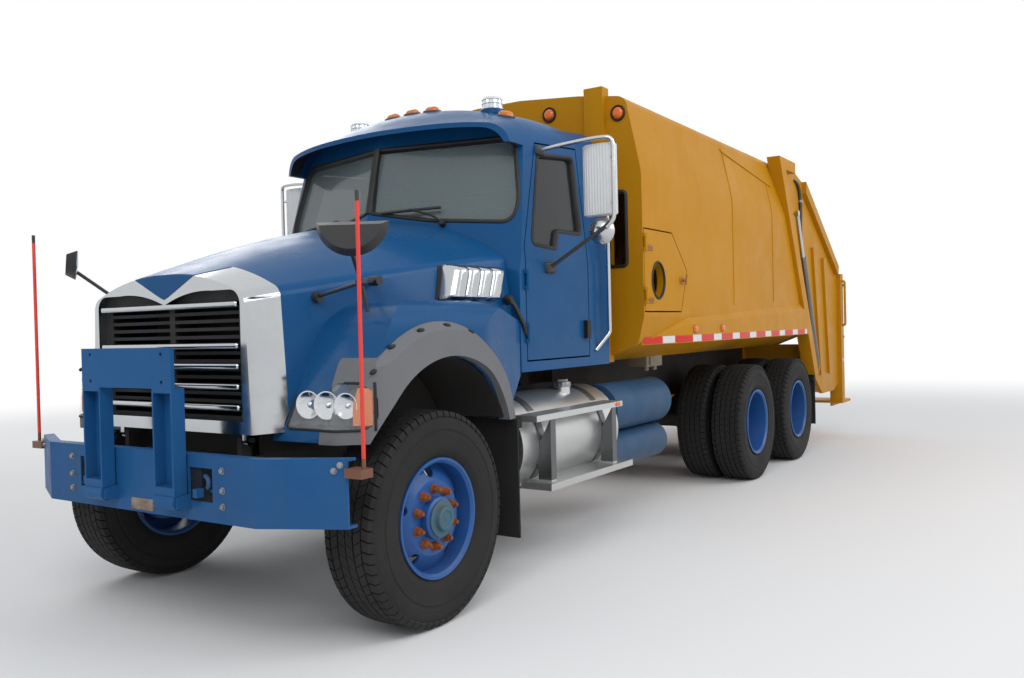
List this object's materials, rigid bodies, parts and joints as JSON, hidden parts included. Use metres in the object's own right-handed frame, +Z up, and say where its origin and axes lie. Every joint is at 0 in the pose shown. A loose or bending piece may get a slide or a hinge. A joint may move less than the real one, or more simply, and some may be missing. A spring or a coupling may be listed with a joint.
{
  "type": "garbage truck",
  "caption": "Conventional-cab rear-loading refuse truck, blue cab, ochre packer body, tandem rear axles with twin wheels, folding nose bracket.",
  "frame": {"origin": "on the ground at the middle of the bounding box", "axes": "+Y runs from the nose to the tail, +X to the driver's left side, +Z up"},
  "size_m": [2.906, 9.54, 3.208],
  "materials": {
    "cab_paint": "gloss",
    "body_paint": "satin",
    "wheel_paint": "satin",
    "rubber": "matte",
    "chassis_steel": "matte",
    "flare_plastic": "matte",
    "chrome": "polished",
    "lamp_plastic": "gloss",
    "glass": "polished",
    "mirror_plastic": "satin",
    "aluminium": "satin",
    "tank_paint": "satin",
    "pole_paint": "satin",
    "seat_foam": "matte",
    "cylinder_steel": "satin"
  },
  "bodies": {
    "chassis": {"frame_rails": "chassis_steel", "axles": "chassis_steel", "engine": "chassis_steel", "front_bumper": "cab_paint", "marker_poles": "pole_paint", "fuel_tank": "aluminium", "step_box": "aluminium", "blue_tanks": "tank_paint", "mud_flaps": "rubber", "cab_shell": "cab_paint", "cab_glass": "glass", "cab_fittings": "flare_plastic", "seats": "seat_foam", "roof_lamps": "lamp_plastic", "grab_bars": "chrome", "body_shell": "body_paint", "body_lamps": "lamp_plastic"},
    "front_bracket": {"plow_bracket": "chassis_steel"},
    "hood_body": {"hood": "cab_paint", "headlamps": "lamp_plastic", "fender_flares": "flare_plastic", "grille_surround": "chrome", "grille": "flare_plastic", "hood_vents": "chrome", "cowl_mirrors": "mirror_plastic", "fender_liners": "flare_plastic"},
    "left_door": {"door_left": "cab_paint", "door_glass_left": "glass", "door_mirror_left": "mirror_plastic"},
    "right_door": {"door_right": "cab_paint", "door_glass_right": "glass", "door_mirror_right": "mirror_plastic"},
    "hatch": {"access_door": "body_paint"},
    "ejector": {"ejector_panel": "body_paint"},
    "tailgate_body": {"tailgate": "body_paint", "tail_lamps": "lamp_plastic", "rear_steps": "chrome"},
    "carriage": {"packer_carriage": "body_paint"},
    "sweep": {"sweep_panel": "body_paint"},
    "left_barrel": {"lift_barrel_left": "cylinder_steel"},
    "right_barrel": {"lift_barrel_right": "cylinder_steel"},
    "left_rod": {"lift_rod_left": "cylinder_steel"},
    "right_rod": {"lift_rod_right": "cylinder_steel"},
    "left_knuckle": {"knuckle_left": "chassis_steel"},
    "right_knuckle": {"knuckle_right": "chassis_steel"},
    "left_front_wheel": {"front_tyre_left": "rubber", "front_wheel_left": "wheel_paint"},
    "right_front_wheel": {"front_tyre_right": "rubber", "front_wheel_right": "wheel_paint"},
    "left_duals_1": {"rear_tyres_1_left": "rubber", "rear_wheels_1_left": "wheel_paint"},
    "right_duals_1": {"rear_tyres_1_right": "rubber", "rear_wheels_1_right": "wheel_paint"},
    "left_duals_2": {"rear_tyres_2_left": "rubber", "rear_wheels_2_left": "wheel_paint"},
    "right_duals_2": {"rear_tyres_2_right": "rubber", "rear_wheels_2_right": "wheel_paint"}
  },
  "joints": [
    {"name": "steer_left", "type": "hinge", "parent": "chassis", "child": "left_knuckle", "pos_m": [0.86, -3.83, 0.535], "axis": [0, 0, 1], "range_deg": [-35, 35]},
    {"name": "steer_right", "type": "hinge", "parent": "chassis", "child": "right_knuckle", "pos_m": [-0.86, -3.83, 0.535], "axis": [0, 0, 1], "range_deg": [-35, 35]},
    {"name": "hood_tilt", "type": "hinge", "parent": "chassis", "child": "hood_body", "pos_m": [0, -4.43, 0.96], "axis": [1, 0, 0], "range_deg": [0, 60]},
    {"name": "bracket_fold", "type": "hinge", "parent": "chassis", "child": "front_bracket", "pos_m": [0, -4.735, 0.7], "axis": [1, 0, 0], "range_deg": [0, 90]},
    {"name": "left_door_swing", "type": "hinge", "parent": "chassis", "child": "left_door", "pos_m": [1.034, -2.761, 1.9], "axis": [0, 0, 1], "range_deg": [-65, 0]},
    {"name": "right_door_swing", "type": "hinge", "parent": "chassis", "child": "right_door", "pos_m": [-1.034, -2.761, 1.9], "axis": [0, 0, 1], "range_deg": [0, 65]},
    {"name": "hatch_swing", "type": "hinge", "parent": "chassis", "child": "hatch", "pos_m": [1.214, -1.46, 1.85], "axis": [0, 0, 1], "range_deg": [-100, 0]},
    {"name": "ejector_slide", "type": "slide", "parent": "chassis", "child": "ejector", "axis": [0, 1, 0], "range_m": [0, 2.4]},
    {"name": "tailgate_lift", "type": "hinge", "parent": "chassis", "child": "tailgate_body", "pos_m": [0, 2.22, 3.08], "axis": [1, 0, 0], "range_deg": [0, 90]},
    {"name": "packer_slide", "type": "slide", "parent": "tailgate_body", "child": "carriage", "axis": [0, 0.4648, -0.8854], "range_m": [0, 0.75]},
    {"name": "sweep_swing", "type": "hinge", "parent": "carriage", "child": "sweep", "pos_m": [0, 3.44, 2.18], "axis": [1, 0, 0], "range_deg": [0, 90]},
    {"name": "left_barrel_turn", "type": "hinge", "parent": "chassis", "child": "left_barrel", "pos_m": [1.2, 3.155, 0.93], "axis": [1, 0, 0], "range_deg": [-12, 0]},
    {"name": "right_barrel_turn", "type": "hinge", "parent": "chassis", "child": "right_barrel", "pos_m": [-1.2, 3.155, 0.93], "axis": [1, 0, 0], "range_deg": [-12, 0]},
    {"name": "left_rod_slide", "type": "slide", "parent": "left_barrel", "child": "left_rod", "axis": [0, -0.3803, 0.9248], "range_m": [0, 0.6]},
    {"name": "right_rod_slide", "type": "slide", "parent": "right_barrel", "child": "right_rod", "axis": [0, -0.3803, 0.9248], "range_m": [0, 0.6]},
    {"name": "left_front_spin", "type": "hinge", "parent": "left_knuckle", "child": "left_front_wheel", "pos_m": [1.027, -3.83, 0.535], "axis": [1, 0, 0], "continuous": true},
    {"name": "left_duals_1_spin", "type": "hinge", "parent": "chassis", "child": "left_duals_1", "pos_m": [0.927, 0.93, 0.535], "axis": [1, 0, 0], "continuous": true},
    {"name": "left_duals_2_spin", "type": "hinge", "parent": "chassis", "child": "left_duals_2", "pos_m": [0.927, 2.295, 0.535], "axis": [1, 0, 0], "continuous": true},
    {"name": "right_front_spin", "type": "hinge", "parent": "right_knuckle", "child": "right_front_wheel", "pos_m": [-1.027, -3.83, 0.535], "axis": [1, 0, 0], "continuous": true},
    {"name": "right_duals_1_spin", "type": "hinge", "parent": "chassis", "child": "right_duals_1", "pos_m": [-0.927, 0.93, 0.535], "axis": [1, 0, 0], "continuous": true},
    {"name": "right_duals_2_spin", "type": "hinge", "parent": "chassis", "child": "right_duals_2", "pos_m": [-0.927, 2.295, 0.535], "axis": [1, 0, 0], "continuous": true}
  ],
  "couplings": [
    {"joint": "steer_right", "follows": "steer_left", "ratio": 1},
    {"joint": "bracket_fold", "follows": "hood_tilt", "ratio": 1.5},
    {"joint": "left_barrel_turn", "follows": "tailgate_lift", "ratio": -0.122},
    {"joint": "right_barrel_turn", "follows": "tailgate_lift", "ratio": -0.122},
    {"joint": "left_rod_slide", "follows": "tailgate_lift", "m_per_rad": 0.375},
    {"joint": "right_rod_slide", "follows": "tailgate_lift", "m_per_rad": 0.375}
  ]
}
